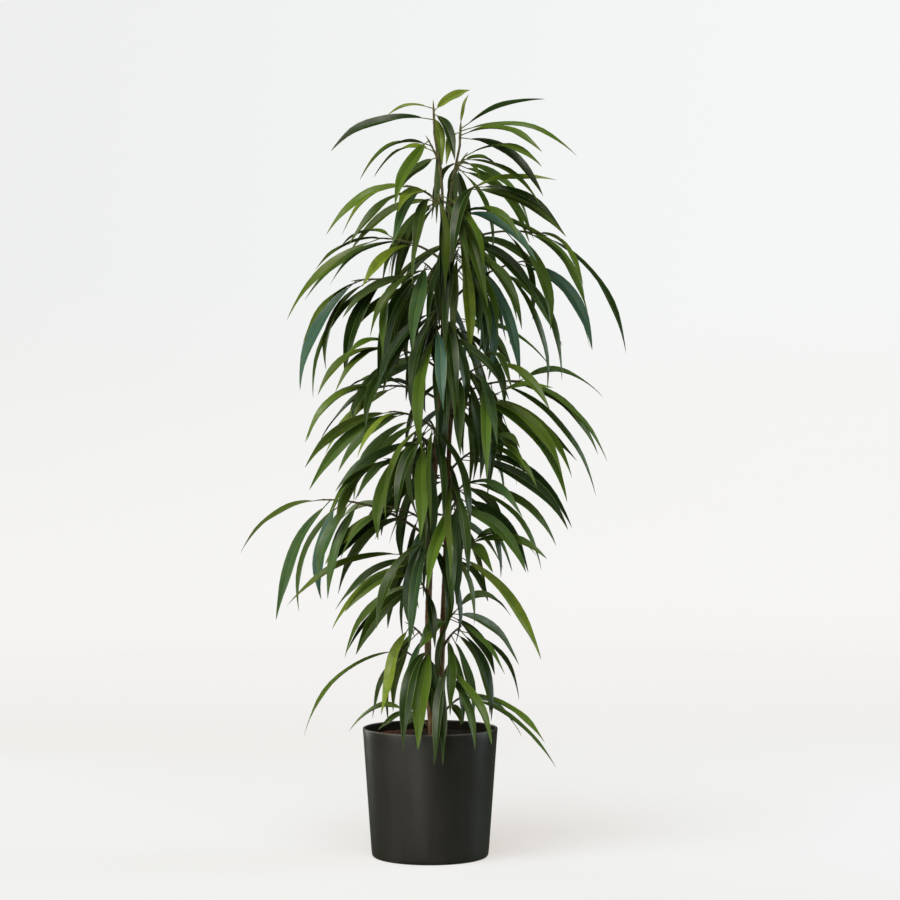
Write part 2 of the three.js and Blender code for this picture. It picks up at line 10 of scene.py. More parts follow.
import bpy
import numpy as np
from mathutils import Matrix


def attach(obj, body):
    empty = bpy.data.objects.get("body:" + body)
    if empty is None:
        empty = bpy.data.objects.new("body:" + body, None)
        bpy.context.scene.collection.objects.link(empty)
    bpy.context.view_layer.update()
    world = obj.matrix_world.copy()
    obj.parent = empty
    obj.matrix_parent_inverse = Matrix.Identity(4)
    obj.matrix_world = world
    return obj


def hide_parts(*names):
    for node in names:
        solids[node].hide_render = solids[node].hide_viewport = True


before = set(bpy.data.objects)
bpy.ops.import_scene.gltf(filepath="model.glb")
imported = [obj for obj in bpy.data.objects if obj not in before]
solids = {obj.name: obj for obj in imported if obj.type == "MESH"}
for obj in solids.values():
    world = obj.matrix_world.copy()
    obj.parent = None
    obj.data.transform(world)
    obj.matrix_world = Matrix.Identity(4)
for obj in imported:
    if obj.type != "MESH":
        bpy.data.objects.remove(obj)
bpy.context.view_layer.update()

# %% [markdown]
# ## Reading a solid
# The finer leaves must lie where the solid ones lie, so their places are read off the solids instead
# of being typed in again. A solid arrives as loose triangles. Corners at the same place are made one,
# and a table then says which corners an edge links.

# %% Corners, triangles and links
SAME_PLACE_DIGITS = 6


def read_solid(name):
    """The corners of a solid (n x 3) and its triangles (m x 3), each corner kept once."""
    mesh = solids[name].data
    corners = np.empty(len(mesh.vertices) * 3, np.float32)
    mesh.vertices.foreach_get("co", corners)
    mesh.calc_loop_triangles()
    triangles = np.empty(len(mesh.loop_triangles) * 3, np.int32)
    mesh.loop_triangles.foreach_get("vertices", triangles)
    rounded = np.round(corners.reshape(-1, 3), SAME_PLACE_DIGITS)
    kept, place = np.unique(rounded, axis=0, return_inverse=True)
    return kept.astype(float), place.ravel()[triangles].reshape(-1, 3)


def unit(vectors):
    """Vectors of length one in the same directions."""
    return vectors / np.linalg.norm(vectors, axis=-1, keepdims=True)


def corner_angles(corners, triangles):
    """For each corner, the sum in degrees of the angles that its triangles have there."""
    total = np.zeros(len(corners))
    for turn in range(3):
        here, following, previous = np.roll(triangles, -turn, axis=1).T
        ahead = unit(corners[following] - corners[here])
        behind = unit(corners[previous] - corners[here])
        cosine = np.clip(np.einsum("ij,ij->i", ahead, behind), -1, 1)
        np.add.at(total, here, np.degrees(np.arccos(cosine)))
    return total


def link_table(count, triangles):
    """A square table with a 1 where an edge links two corners."""
    links = np.zeros((count, count), int)
    for turn in range(3):
        here, following, _ = np.roll(triangles, -turn, axis=1).T
        links[here, following] = 1
        links[following, here] = 1
    return links


pot_corners, pot_triangles = read_solid("pot")
print("the pot's solid has", len(pot_corners), "corners and", len(pot_triangles), "triangles")

# %% [markdown]
# ## Finding the leaves
# A solid blade is a chain of rings with four corners each: the left edge, the upper ridge, the right
# edge and the lower ridge. It ends in a sharp tip where just four triangles meet. Stepping along the
# edges from the tips gives the rings one after another. A step to all linked corners that aren't used
# yet is a product with the link table, so every leaf of a shoot is read at once. The shares say where
# along the blade the tip and the three rings lie, from 1 at the tip to 0 at the base.

# %% Rings of the blades, from the tip back to the base
BLADE_SHARES = np.array([1.0, 0.68, 0.3, 0.0])
TIP_TRIANGLES = 4
SHARP_TIP = 120
RING_CORNERS = 4


def blade_rings(corners, triangles):
    """For each blade: its tip, its three rings (leaves x 3 x 4 corner numbers), and what they use up."""
    count = len(corners)
    links = link_table(count, triangles)
    met = np.bincount(triangles.ravel(), minlength=count)
    sharp = corner_angles(corners, triangles) < SHARP_TIP
    tips = np.nonzero((met == TIP_TRIANGLES) & sharp)[0]
    ring = np.eye(count, dtype=int)[tips]
    used = ring.copy()
    rings = []
    for _ in BLADE_SHARES[1:]:
        ring = (ring @ links > 0) & (used == 0)
        used = used + ring
        rings.append(ring)
    whole = np.all([ring.sum(1) == RING_CORNERS for ring in rings], axis=0)
    numbers = [np.nonzero(ring[whole])[1].reshape(-1, RING_CORNERS) for ring in rings]
    return tips[whole], np.stack(numbers, axis=1), used[whole].any(0)


# %% [markdown]
# ## The line of a leaf
# In each ring the two corners that lie furthest apart are the edges, and the middle of the other two
# lies on the leaf's midline. The six rows of pairs name two corners of a ring and then the other two.
# The midlines are parabolas, so three numbers for each axis hold one: its value, slope and bend. They
# are fitted to the four known points, and run on past the blade's base down the stalk to the twig.
# The stalk's share and the leaf's length depend on each other, so a few rounds bring them together.
# The half width is measured near the first third, where the halves are folded and not at their widest.

# %% Midlines and widths of all the leaves of one shoot
PAIRS = np.array([(0, 1, 2, 3), (0, 2, 1, 3), (0, 3, 1, 2), (1, 2, 0, 3), (1, 3, 0, 2), (2, 3, 0, 1)])
FOLD = math.radians(22)
WIDTH_AT_THIRD = 0.86
STALK_LENGTH = 0.022
STALK_SHARE = 0.12
STALK_ROUNDS = 3


def powers(shares):
    """1, u and u squared for each share u."""
    return np.stack([np.ones_like(shares), shares, shares**2], axis=-1)


def read_leaves(corners, triangles):
    """The leaves of a shoot as curves (leaves x 3 x 3), directions across, half widths, stalk ends and
    the corners that their blades use up."""
    tips, rings, used = blade_rings(corners, triangles)
    points = corners[rings]
    spans = np.linalg.norm(points[:, :, PAIRS[:, 0]] - points[:, :, PAIRS[:, 1]], axis=-1)
    order = PAIRS[spans.argmax(-1)]
    points = np.take_along_axis(points, order[..., None], axis=2)
    middles = points[:, :, 2:].mean(2)
    line = np.concatenate([corners[tips][:, None], middles], axis=1)
    curves = np.einsum("ks,lsd->lkd", np.linalg.pinv(powers(BLADE_SHARES)), line)
    edge = points[:, 1, 1] - points[:, 1, 0]
    lift = points[:, 1, :2].mean(1) - middles[:, 1]
    facing = np.sign(np.einsum("ld,ld->l", edge, np.cross(line[:, 0] - line[:, 3], lift)))
    across = unit(edge) * facing[:, None]
    half_widths = np.linalg.norm(edge, axis=1) / 2 / math.cos(FOLD) / WIDTH_AT_THIRD
    stalk = np.full(len(tips), STALK_SHARE)
    for _ in range(STALK_ROUNDS):
        ends = -stalk / (1 - stalk)
        roots = np.einsum("lk,lkd->ld", powers(ends), curves)
        stalk = np.minimum(STALK_LENGTH / np.linalg.norm(line[:, 0] - roots, axis=1), STALK_SHARE)
    return curves, across, half_widths, ends, used


shoot_names = sorted(name for name in solids if name.startswith("shoot"))
sample = read_leaves(*read_solid("shoot_left_4"))
print("shoot_left_4 has", len(sample[0]), "leaves, half as wide as", sample[2].round(4))

# %% [markdown]
# ## Grids that close
# Everything that grows here is a chain of rings: a tube for wood, a flat folded ring for a blade. One
# helper turns rings into faces, with a cap at each end so that the surface is closed. All leaves of a
# shoot go through it together: the first axis of the array counts them.


# %% Faces for chains of rings
def chain_faces(chains, rings, sides):
    """Quads between neighbouring rings of each chain, and the two end caps of each chain."""
    number = np.arange(chains * rings * sides).reshape(chains, rings, sides)
    here, beside = number, np.roll(number, -1, axis=2)
    quads = np.stack([here[:, :-1], beside[:, :-1], beside[:, 1:], here[:, 1:]], axis=-1)
    caps = np.stack([number[:, 0, ::-1], number[:, -1]], axis=1)
    return quads.reshape(-1, 4), caps.reshape(-1, sides)


def tube_corners(paths, radii, sides, reference=(0.0, 0.0, 1.0)):
    """Rings round each path: a step along the ring is a turn in the plane square to the path."""
    along = unit(np.gradient(paths, axis=1))
    side = unit(np.cross(np.array(reference), along))
    other = np.cross(along, side)
    turn = 2 * np.pi * np.arange(sides) / sides
    ring = side[:, :, None] * np.cos(turn)[:, None] + other[:, :, None] * np.sin(turn)[:, None]
    return paths[:, :, None] + radii[:, :, None, None] * ring


# %% [markdown]
# ## One mesh from several chains
# A shoot is one thing that grew, so its twig, stalks and blades go into one mesh. Each chain brings
# its corners, its faces with a material number, and two vectors for each corner that the materials
# read later. `blade` holds how far across the blade the corner lies (-1 to 1), how far along (0 to 1)
# and the half width there. `shade` holds how light the leaf is, with painted shade in it, how young it
# is, and how much painted bluish sheen it has.

# %% Collect chains and make the object
PLAIN = (0, 0, 0)


def chain(corners, faces, slots, blade=PLAIN, shade=PLAIN):
    """One set of faces with what its corners and faces carry. `faces` is quads and caps."""
    quads, caps = faces
    count = corners.reshape(-1, 3).shape[0]
    return {
        "corners": corners.reshape(-1, 3),
        "faces": quads.tolist() + caps.tolist(),
        "slots": np.broadcast_to(slots, len(quads) + len(caps)),
        "blade": np.broadcast_to(blade, (*corners.shape[:-1], 3)).reshape(count, 3),
        "shade": np.broadcast_to(shade, (*corners.shape[:-1], 3)).reshape(count, 3),
    }


def new_object(name, data):
    """A new object in the scene."""
    made = bpy.data.objects.new(name, data)
    bpy.context.scene.collection.objects.link(made)
    return made


def make_piece(name, chains, materials, crease, replaced):
    """A smooth-shaded object from chains, creased where faces meet at more than an angle."""
    offsets = np.cumsum([0] + [len(part["corners"]) for part in chains])
    faces = [[corner + start for corner in face] for part, start in zip(chains, offsets)
             for face in part["faces"]]
    mesh = bpy.data.meshes.new(name)
    mesh.from_pydata(np.concatenate([part["corners"] for part in chains]).tolist(), [], faces)
    for kind in ("blade", "shade"):
        values = np.concatenate([part[kind] for part in chains]).astype(np.float32)
        mesh.attributes.new(kind, "FLOAT_VECTOR", "POINT").data.foreach_set("vector", values.ravel())
    slots = np.concatenate([part["slots"] for part in chains]).astype(np.int32)
    mesh.polygons.foreach_set("material_index", slots)
    for material in materials:
        mesh.materials.append(material)
    mesh.shade_smooth()
    mesh.set_sharp_from_angle(angle=math.radians(crease))
    piece = new_object(name, mesh)
    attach(piece, "root")
    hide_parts(*replaced)
    return piece


# %% [markdown]
# ## Node helpers
# Materials here are built from nodes in code, and small helpers keep that readable. They add a node and
# wire its inputs, do sums, make a soft step, fade between colours, make cloudy patches, read what the
# corners carry, start a node group or a material, and give a material its relief.


# %% Helpers for nodes, groups and materials
def add(tree, kind, inputs=None, **settings):
    """A new shader node. Each input is a value or another node's output."""
    made = tree.nodes.new("ShaderNode" + kind)
    for name, value in settings.items():
        setattr(made, name, value)
    for name, value in (inputs or {}).items():
        if isinstance(value, bpy.types.NodeSocket):
            tree.links.new(value, made.inputs[name])
        else:
            made.inputs[name].default_value = value
    return made


def calc(tree, operation, *values):
    """The result of a sum, product or other operation on values or outputs."""
    return add(tree, "Math", dict(enumerate(values)), operation=operation).outputs[0]


def ease(tree, value, start, end, low=0.0, high=1.0):
    """A smooth step: low up to start, high from end on, and a soft rise between."""
    ramp = add(tree, "MapRange", {"Value": value, "From Min": start, "From Max": end,
                                  "To Min": low, "To Max": high}, interpolation_type="SMOOTHSTEP")
    return ramp.outputs["Result"]


def blend(tree, share, first, second):
    """A colour between two colours. Sockets 0, 6 and 7 of the node are the share and the colours."""
    colours = [(*c, 1.0) if isinstance(c, tuple) else c for c in (first, second)]
    mix = add(tree, "Mix", {0: share, 6: colours[0], 7: colours[1]}, data_type="RGBA")
    return mix.outputs[2]


def noise(tree, place, scale, detail):
    """Cloudy noise between 0 and 1. A bigger scale gives smaller patches."""
    return add(tree, "TexNoise", {"Vector": place, "Scale": scale, "Detail": detail}).outputs[0]


def position(tree):
    """The place of the shaded point, in metres."""
    return add(tree, "TexCoord").outputs["Object"]


def split(tree, vector):
    """The three numbers of a vector."""
    return add(tree, "SeparateXYZ", {0: vector}).outputs


def carried(tree, name):
    """The three numbers that the corners carry as `blade` or `shade`."""
    return split(tree, add(tree, "Attribute", attribute_name=name).outputs["Vector"])


def dimmed(colour, share):
    """A colour with its three numbers multiplied by a share."""
    return tuple(share * c for c in colour)


def new_group(name, inputs, outputs):
    """An empty node group with named number inputs and outputs."""
    group = bpy.data.node_groups.new(name, "ShaderNodeTree")
    for way, labels in (("INPUT", inputs), ("OUTPUT", outputs)):
        for label in labels:
            group.interface.new_socket(label, in_out=way, socket_type="NodeSocketFloat")
    start = group.nodes.new("NodeGroupInput")
    end = group.nodes.new("NodeGroupOutput")
    return group, start.outputs, end.inputs


def new_material(name):
    """A material with a fresh Principled shader, its tree and the shader."""
    material = bpy.data.materials.new(name)
    material.use_nodes = True
    tree = material.node_tree
    tree.nodes.clear()
    shader = tree.nodes.new("ShaderNodeBsdfPrincipled")
    output = tree.nodes.new("ShaderNodeOutputMaterial")
    tree.links.new(shader.outputs[0], output.inputs["Surface"])
    return material, tree, shader


def set_bump(tree, shader, relief, strength, depth):
    """Tilts the shader's normal as if a relief of this depth in metres lay on the surface."""
    bump = add(tree, "Bump", {"Height": relief, "Strength": strength, "Distance": depth})
    tree.links.new(bump.outputs[0], shader.inputs["Normal"])


# %% [markdown]
# ## Veins
# A fig leaf has a pale midrib, and many fine side veins that leave it aslant and run nearly
# straight to a thin pale margin. As both faces of a blade know how far across and along each point
# lies, the veins are a formula. The midrib is where the distance from the middle is under a width that
# shrinks towards the tip, and a side vein is each crest of a cosine along a slanted count.

# %% A node group for the veins
VEINS_ALONG = 34.0
VEIN_SLANT = 2.2
VEIN_CREST = (0.55, 1.0)
RIB_AT_BASE = 0.0009
RIB_AT_TIP = 0.0003
RIB_EDGE = (0.5, 1.1)
MARGIN_EDGE = (0.86, 0.97)

veins, given, result = new_group("Leaf veins", ["Across", "Along", "Half width"],
                                 ["Midrib", "Side veins", "Margin"])
sideways = calc(veins, "ABSOLUTE", given["Across"])
distance = calc(veins, "MULTIPLY", sideways, given["Half width"])
rib_width = ease(veins, given["Along"], 0.0, 1.0, RIB_AT_BASE, RIB_AT_TIP)
beside_rib = ease(veins, calc(veins, "DIVIDE", distance, rib_width), *RIB_EDGE)
veins.links.new(calc(veins, "SUBTRACT", 1.0, beside_rib), result["Midrib"])
count = calc(veins, "SUBTRACT", calc(veins, "MULTIPLY", given["Along"], VEINS_ALONG),
             calc(veins, "MULTIPLY", sideways, VEIN_SLANT))
crest = calc(veins, "COSINE", calc(veins, "MULTIPLY", count, 2 * math.pi))
veins.links.new(ease(veins, crest, *VEIN_CREST), result["Side veins"])
veins.links.new(ease(veins, sideways, *MARGIN_EDGE), result["Margin"])
print("side veins on each half of a leaf:", VEINS_ALONG)

# %% [markdown]
# ## Leaf materials
# The upper face is leathery and half glossy, deep green in old leaves and in painted shade, and
# yellow-green in young ones. A soft step lets only leaves with a clear bluish sheen take a painted
# bluish reflection. The lower face is greyer, paler and duller, and darkens with painted shade too.
# They are two materials on the same blade, because that needs no test of which side is seen. Soft
# blotches from noise keep a leaf from looking printed. The midrib is a groove above and a ridge below,
# so its relief changes sign.

# %% Upper and lower leaf faces
DEEP_GREEN = (0.010, 0.034, 0.001)
FRESH_GREEN = (0.078, 0.160, 0.009)
YOUNG_GREEN = (0.260, 0.350, 0.030)
BLUISH_SHEEN_GREEN = (0.062, 0.158, 0.142)
SHEEN_FROM = 0.2
SHEEN_MOST = 0.8
MIDRIB_GREEN = (0.230, 0.300, 0.090)
VEIN_PAINT = {"Side veins": 0.13, "Margin": 0.45, "Midrib": 0.75}
UNDER_GREEN = (0.090, 0.145, 0.038)
UNDER_DARKEST = 0.6
UNDER_YOUNG = (0.270, 0.360, 0.080)
BLOTCH_SCALE = 45.0
GRAIN_SCALE = 900.0
GRAIN_RELIEF = 0.12
RIB_RELIEF = {"upper": -0.6, "lower": 1.0}
VEIN_RELIEF = {"upper": -0.25, "lower": 0.25}
LEAF_ROUGHNESS = {"upper": (0.33, 0.46), "lower": (0.52, 0.66)}
LEAF_SPECULAR = {"upper": 0.32, "lower": 0.2}


def leaf_material(face):
    """The material of the upper or the lower face of the blades."""
    material, tree, shader = new_material("Leaf " + face + " face")
    across, along, half_width = carried(tree, "blade")
    light, young, bluish_sheen = carried(tree, "shade")
    ribs = add(tree, "Group", {"Across": across, "Along": along, "Half width": half_width},
               node_tree=veins)
    place = position(tree)
    blotch = noise(tree, place, BLOTCH_SCALE, 4.0)
    grain = noise(tree, place, GRAIN_SCALE, 2.0)
    if face == "lower":
        # Painted shade: the leaf's lightness, which carries painted shade, darkens this face as well.
        colour = blend(tree, light, dimmed(UNDER_GREEN, UNDER_DARKEST), UNDER_GREEN)
        colour = blend(tree, young, colour, UNDER_YOUNG)
    else:
        colour = blend(tree, light, DEEP_GREEN, FRESH_GREEN)
        # Painted reflection: leaves with a clear bluish sheen turn towards a blue green.
        colour = blend(tree, ease(tree, bluish_sheen, SHEEN_FROM, 1.0, 0.0, SHEEN_MOST), colour, BLUISH_SHEEN_GREEN)
        colour = blend(tree, young, colour, YOUNG_GREEN)
    spotted = calc(tree, "MULTIPLY", ease(tree, blotch, 0.35, 0.7, 0.1, 0.6), light)
    colour = blend(tree, spotted, colour, FRESH_GREEN)
    for mark, strength in VEIN_PAINT.items():
        colour = blend(tree, calc(tree, "MULTIPLY", ribs.outputs[mark], strength), colour, MIDRIB_GREEN)
    tree.links.new(colour, shader.inputs["Base Color"])
    roughness = ease(tree, blotch, 0.3, 0.7, *LEAF_ROUGHNESS[face])
    tree.links.new(roughness, shader.inputs["Roughness"])
    relief = calc(tree, "ADD", calc(tree, "MULTIPLY", ribs.outputs["Midrib"], RIB_RELIEF[face]),
                  calc(tree, "MULTIPLY", ribs.outputs["Side veins"], VEIN_RELIEF[face]))
    relief = calc(tree, "ADD", relief, calc(tree, "MULTIPLY", grain, GRAIN_RELIEF))
    set_bump(tree, shader, relief, 0.5, 0.0004)
    shader.inputs["Specular IOR Level"].default_value = LEAF_SPECULAR[face]
    return material


leaf_upper = leaf_material("upper")
leaf_lower = leaf_material("lower")
print("leaf materials:", leaf_upper.name, "and", leaf_lower.name)

# %% [markdown]
# ## Bark
# The stems are thin-barked: grey-brown with a reddish cast low down, olive green near the top where
# they are young, and marked by rings where old leaves fell. Twigs and leaf stalks are greener still.
# One group gives the cracks, rings and blotches for all of them. Cracks are noise squeezed along Z,
# which draws it out upright.

# %% A node group for bark, and three barks
JOINT_STEP = 0.031
RING_WOBBLE = 0.03
RING_EDGE = (0.86, 0.99)
CRACK_EDGE = (0.42, 0.62)
BLOTCH_EDGE = (0.38, 0.66)

bark_marks, given, result = new_group("Bark marks", ["Stretch"], ["Cracks", "Rings", "Blotches"])
place = position(bark_marks)
squeeze = add(bark_marks, "CombineXYZ", {"X": 1.0, "Y": 1.0, "Z": given["Stretch"]}).outputs[0]
drawn_out = add(bark_marks, "VectorMath", {0: place, 1: squeeze}, operation="MULTIPLY").outputs[0]
cracks = noise(bark_marks, drawn_out, 420.0, 5.0)
bark_marks.links.new(ease(bark_marks, cracks, *CRACK_EDGE), result["Cracks"])
blotches = noise(bark_marks, place, 38.0, 3.0)
bark_marks.links.new(ease(bark_marks, blotches, *BLOTCH_EDGE), result["Blotches"])
wobble = calc(bark_marks, "MULTIPLY", blotches, RING_WOBBLE)
height = calc(bark_marks, "ADD", split(bark_marks, place)["Z"], wobble)
ringed = calc(bark_marks, "COSINE", calc(bark_marks, "MULTIPLY", height, 2 * math.pi / JOINT_STEP))
bark_marks.links.new(ease(bark_marks, ringed, *RING_EDGE), result["Rings"])


def bark_material(name, low, high, young, green_from, green_to, stretch):
    """Bark between two browns that turns green between two heights."""
    material, tree, shader = new_material(name)
    marks = add(tree, "Group", {"Stretch": stretch}, node_tree=bark_marks)
    height = split(tree, position(tree))["Z"]
    colour = blend(tree, marks.outputs["Blotches"], low, high)
    colour = blend(tree, ease(tree, height, green_from, green_to), colour, young)
    for mark, strength, depth in (("Cracks", 0.45, 0.4), ("Rings", 0.5, 0.55)):
        share = calc(tree, "MULTIPLY", marks.outputs[mark], strength)
        colour = blend(tree, share, colour, dimmed(low, depth))
    tree.links.new(colour, shader.inputs["Base Color"])
    tree.links.new(ease(tree, marks.outputs["Blotches"], 0.0, 1.0, 0.62, 0.8), shader.inputs["Roughness"])
    relief = calc(tree, "SUBTRACT", marks.outputs["Rings"], marks.outputs["Cracks"])
    set_bump(tree, shader, relief, 0.6, 0.0008)
    return material


stem_bark = bark_material("Stem bark", (0.250, 0.125, 0.055), (0.380, 0.240, 0.120),
                          (0.210, 0.190, 0.075), green_from=0.85, green_to=1.35, stretch=0.12)
twig_bark = bark_material("Twig bark", (0.120, 0.092, 0.048), (0.190, 0.165, 0.080),
                          (0.210, 0.200, 0.080), green_from=0.9, green_to=1.4, stretch=0.5)
stalk_skin = bark_material("Leaf stalk", (0.150, 0.160, 0.060), (0.240, 0.260, 0.100),
                           (0.260, 0.290, 0.100), green_from=0.7, green_to=1.4, stretch=0.8)
print("a ring on the bark every", JOINT_STEP, "m")

# %% [markdown]
# ## The stems
# A real stem isn't the straight-sided tube of the solid: it swells at every old leaf joint and wanders
# a little. Its line is read from the solid's rings, sorted from the foot up, and a smooth curve is
# drawn through their centres. The joints are swellings at the same steps of height as the rings.

# %% Stems with joints
STEM_SIDES = 8
FINE_SIDES = 16
FINE_STEPS = 360
JOINT_SWELL = 0.07
JOINT_SHARPNESS = 6


def smooth_through(points, count):
    """Points on a smooth curve through the given ones. Each stretch is a cubic whose slope at a
    point is half the step between its neighbours."""
    ends = np.concatenate([2 * points[:1] - points[1:2], points, 2 * points[-1:] - points[-2:-1]])
    place = np.linspace(0, len(points) - 1, count)
    first = np.minimum(place.astype(int), len(points) - 2)
    share = (place - first)[:, None]
    before, here, after, beyond = (ends[first + step] for step in range(4))
    slope_here, slope_after = (after - before) / 2, (beyond - here) / 2
    return (here * (1 + 2 * share) * (1 - share) ** 2 + slope_here * share * (1 - share) ** 2
            + after * share**2 * (3 - 2 * share) - slope_after * share**2 * (1 - share))


stem_lines = {}
for name in ("stem_left", "stem_right"):
    corners, _ = read_solid(name)
    rings = corners[np.argsort(corners[:, 2])].reshape(-1, STEM_SIDES, 3)
    centres = rings.mean(1)
    radius = np.linalg.norm(rings - centres[:, None], axis=2).mean(1)
    line = smooth_through(np.column_stack([centres, radius]), FINE_STEPS)
    joint = np.cos(2 * np.pi * line[:, 2] / JOINT_STEP)
    radii = line[:, 3] * (1 + JOINT_SWELL * np.clip(joint, 0, 1) ** JOINT_SHARPNESS)
    corners = tube_corners(line[None, :, :3], radii[None], FINE_SIDES, reference=(1.0, 0.0, 0.0))
    wood = chain(corners, chain_faces(1, FINE_STEPS, FINE_SIDES), 0)
    make_piece(name + "_bark", [wood], [stem_bark], crease=60, replaced=[name])
    stem_lines[name] = line
    print(name, "runs up to", round(line[-1, 2], 3))

# %% [markdown]
# ## What each leaf looks like
# In the photograph some leaves stand out: young yellow-green ones, fresh green ones, ones in the
# plant's shade that are painted nearly black, ones with a painted bluish sheen, and others with a
# painted grey sheen. They are listed by the pixel of their tip (column, row), and a leaf whose tip
# appears close to one takes that look. Every other leaf draws its own from a seeded generator, with
# painted shade that deepens the closer it hangs to the stems, and lighter in the crown.

# %% Looks by the place of the leaf's tip
PIXEL = 0.002074
AXIS_COLUMN = 430.2
GROUND_ROW = 856
CAMERA = np.array([0.041, -5.0, 0.842])
LOOKS = {"young": (0.9, 0.85, 0.0), "fresh": (1.0, 0.12, 0.0), "olive": (0.55, 0.4, 0.0),
         "bluish_sheen": (0.35, 0.0, 1.0), "grey_sheen": (0.5, 0.0, 0.5), "dark": (0.0, 0.0, 0.1)}
SEEN_TIPS = {
    "young": [(470, 90), (469, 94), (382, 120), (442, 165), (446, 165), (557, 180), (342, 235),
              (398, 212), (374, 177), (362, 287), (515, 303), (469, 358), (325, 455), (357, 458),
              (325, 565), (332, 630), (541, 660), (381, 715), (393, 712)],
    "fresh": [(395, 205), (577, 156), (423, 455), (378, 540), (420, 540), (430, 560), (428, 590),
              (418, 750), (418, 650)],
    "olive": [(563, 478), (572, 478), (598, 455), (335, 525), (537, 556), (490, 715)],
    # Leaves with a painted bluish sheen.
    "bluish_sheen": [(537, 262), (300, 390), (592, 350), (520, 380), (488, 380), (443, 410), (488, 500),
             (452, 610), (388, 722), (321, 600)],
    # Leaves with a painted grey sheen.
    "grey_sheen": [(392, 245), (478, 335), (413, 350), (276, 620), (318, 580), (497, 445), (456, 612),
                (523, 518)],
    # Leaves painted nearly black: painted shade for leaves deep in the plant's shade.
    "dark": [(331, 151), (545, 99), (543, 196), (455, 160), (452, 262), (562, 230), (538, 303),
             (345, 375), (378, 385), (568, 530), (395, 515), (325, 572), (495, 675), (491, 722),
             (403, 752), (626, 353), (434, 765), (442, 765), (458, 406), (446, 425), (438, 444),
             (425, 412), (509, 401), (440, 301), (427, 334), (445, 354), (435, 649)],
}
NEAR = 5.0
CROWN_START = 1.1
CROWN_DEPTH = 0.4
INNER_SHADE_REACH = 0.14
FRONT_WEIGHT = 0.3
SEED = 11
chance = np.random.default_rng(SEED)


def tip_pixels(tips):
    """Where points appear in the photograph: a straight line from the camera meets the pot's plane."""
    scale = CAMERA[1] / (CAMERA[1] - tips[:, 1])
    across = CAMERA[0] + (tips[:, 0] - CAMERA[0]) * scale
    up = CAMERA[2] + (tips[:, 2] - CAMERA[2]) * scale
    return np.column_stack([AXIS_COLUMN + across / PIXEL, GROUND_ROW - up / PIXEL])


def leaf_looks(tips, outward):
    """Light, young and bluish sheen for each leaf, from the list or by chance. A bell that falls with
    the tip's distance from the axis darkens a leaf as painted shade, since the middle of the plant lies
    in shade. Youth grows towards the end of the twig."""
    high = np.clip((tips[:, 2] - CROWN_START) / CROWN_DEPTH, 0, 1)
    distance = np.hypot(tips[:, 0], FRONT_WEIGHT * tips[:, 1])
    # Painted shade: the closer a tip hangs to the stems, the darker the leaf is made.
    inner_shade = np.exp(-((distance / INNER_SHADE_REACH) ** 2)) * (1 - 0.7 * high)
    light = chance.beta(0.9, 1.8, len(tips)) * (1.6 - 1.5 * inner_shade) + 0.2 * high
    young = chance.uniform(0, 0.1, len(tips)) + 0.35 * outward**6 * chance.uniform(0, 1, len(tips))
    bluish_sheen = (chance.uniform(0, 0.45, len(tips)) + 0.1 * inner_shade) * (1 - high)
    looks = np.clip(np.column_stack([light, young + 0.1 * high, bluish_sheen]), 0, 1)
    for name, places in SEEN_TIPS.items():
        gaps = np.linalg.norm(tip_pixels(tips)[:, None] - np.array(places)[None], axis=-1)
        looks[gaps.min(1) < NEAR] = LOOKS[name]
    return looks


print("tips listed by their pixel:", sum(len(places) for places in SEEN_TIPS.values()))

# %% [markdown]
# ## The blades
# A blade of this fig is widest a little below its middle, narrows to the stalk, and is drawn out at
# its far end to a thin drip tip. Its two halves fold up from the midrib, bulge a little and wave at
# the edges, and the whole blade twists and sways a little. The outline is a power of a sine, thinned
# towards the tip. Stations along the blade lie closer together at both ends, where it turns most.

# %% Shape of a blade
BLADE_STEPS = 18
BLADE_SIDES = 6
HALF_TURN = np.pi
WIDEST_SHIFT = 0.88
HUMP_FULLNESS = 0.72
DRIP_START = 0.7
DRIP_FADE = 0.35
LEAST_WIDTH = 0.02
THICKNESS = 0.0007
THINNING = 0.75
HALF_MIDDLE = 0.52
BULGE = 0.05
WAVE = math.radians(7)
WAVES_ALONG = 1.6
TWIST = 16
SWAY = 0.0035


def outline(along):
    """Share of the full width: a sine hump, moved towards the base, times a fade over the drip tip."""
    hump = np.sin(HALF_TURN * along**WIDEST_SHIFT) ** HUMP_FULLNESS
    fade = np.clip((along - DRIP_START) / (1 - DRIP_START), 0, 1)
    return np.maximum(hump * (1 - DRIP_FADE * np.sin(HALF_TURN / 2 * fade)), LEAST_WIDTH)


